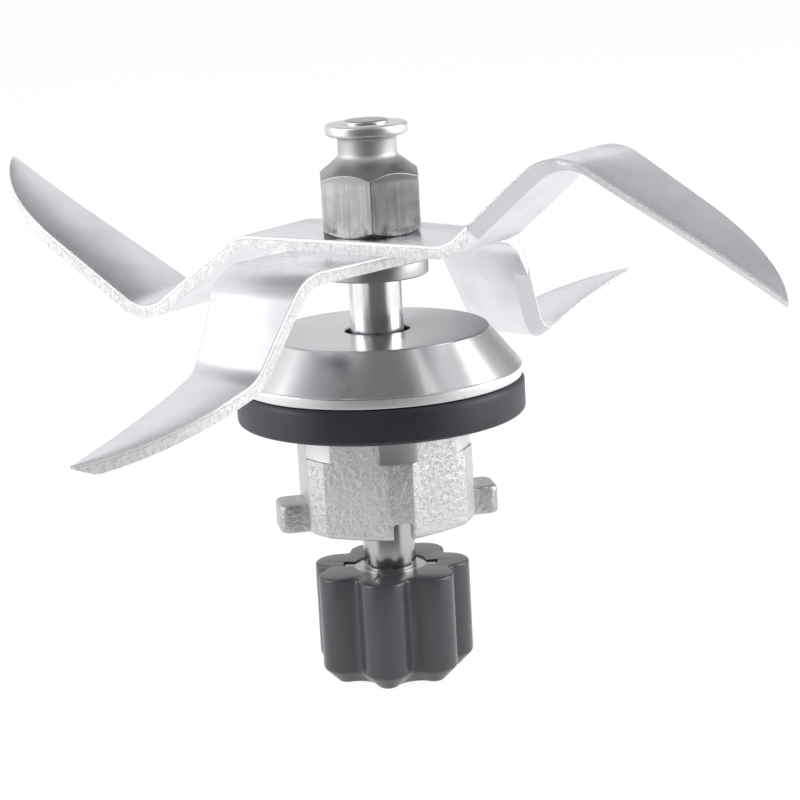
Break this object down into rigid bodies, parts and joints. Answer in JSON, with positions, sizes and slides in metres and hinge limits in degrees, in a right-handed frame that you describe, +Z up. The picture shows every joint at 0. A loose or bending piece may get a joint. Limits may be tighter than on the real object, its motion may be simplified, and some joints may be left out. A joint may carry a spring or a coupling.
{
  "type": "blender blade assembly",
  "caption": "Bent steel cutting blades on a shaft with a cap nut, running in a flanged bearing housing with bayonet lugs, a rubber sealing ring and a lobed drive coupling below",
  "frame": {"origin": "centre of the flat foot of the drive coupling, on the shaft's axis", "axes": "+Z up along the shaft towards the blades, +X through one bayonet lug, +Y away from the camera"},
  "size_m": [0.1013, 0.0998, 0.0856],
  "materials": {
    "shaft_steel": "ground and polished",
    "turned_steel": "turned, bright",
    "blade_steel": "satin sheet with bright cut edges",
    "cast_metal": "fine matte casting, flange turned and polished",
    "sealing_rubber": "charcoal, smooth",
    "seal_rubber": "black",
    "dark_moulding": "charcoal, smooth matte",
    "pressed_steel": "pressed, dull",
    "spring_steel": "oiled dark",
    "bearing_steel": "ground",
    "ball_steel": "polished",
    "cage_brass": "turned"
  },
  "bodies": {
    "housing": {"housing": "cast_metal", "sealing_ring": "sealing_rubber", "seal_case": "pressed_steel", "lip_seal": "seal_rubber", "garter_spring": "spring_steel", "outer_spacer": "pressed_steel", "curved_washer": "spring_steel", "housing_retaining_ring": "spring_steel", "upper_bearing_outer_ring": "bearing_steel", "lower_bearing_outer_ring": "bearing_steel", "upper_bearing_shields": "pressed_steel", "lower_bearing_shields": "pressed_steel"},
    "rotor": {"shaft": "shaft_steel", "cap_nut": "turned_steel", "upper_blade": "blade_steel", "lower_blade": "blade_steel", "blade_collar": "turned_steel", "drive_coupling": "dark_moulding", "coupling_insert": "turned_steel", "inner_spacer": "pressed_steel", "shaft_retaining_ring": "spring_steel", "upper_bearing_inner_ring": "bearing_steel", "lower_bearing_inner_ring": "bearing_steel"},
    "upper_ball_set": {"upper_bearing_balls": "ball_steel", "upper_bearing_cage": "cage_brass"},
    "lower_ball_set": {"lower_bearing_balls": "ball_steel", "lower_bearing_cage": "cage_brass"}
  },
  "joints": [
    {"name": "blade_spin", "type": "hinge", "parent": "housing", "child": "rotor", "pos_m": [0, 0, 0.0335], "axis": [0, 0, 1], "continuous": true},
    {"name": "upper_balls_orbit", "type": "hinge", "parent": "housing", "child": "upper_ball_set", "pos_m": [0, 0, 0.0424], "axis": [0, 0, 1], "continuous": true},
    {"name": "lower_balls_orbit", "type": "hinge", "parent": "housing", "child": "lower_ball_set", "pos_m": [0, 0, 0.0326], "axis": [0, 0, 1], "continuous": true}
  ],
  "couplings": [
    {"joint": "upper_balls_orbit", "follows": "blade_spin", "ratio": 0.3677},
    {"joint": "lower_balls_orbit", "follows": "blade_spin", "ratio": 0.3677}
  ]
}
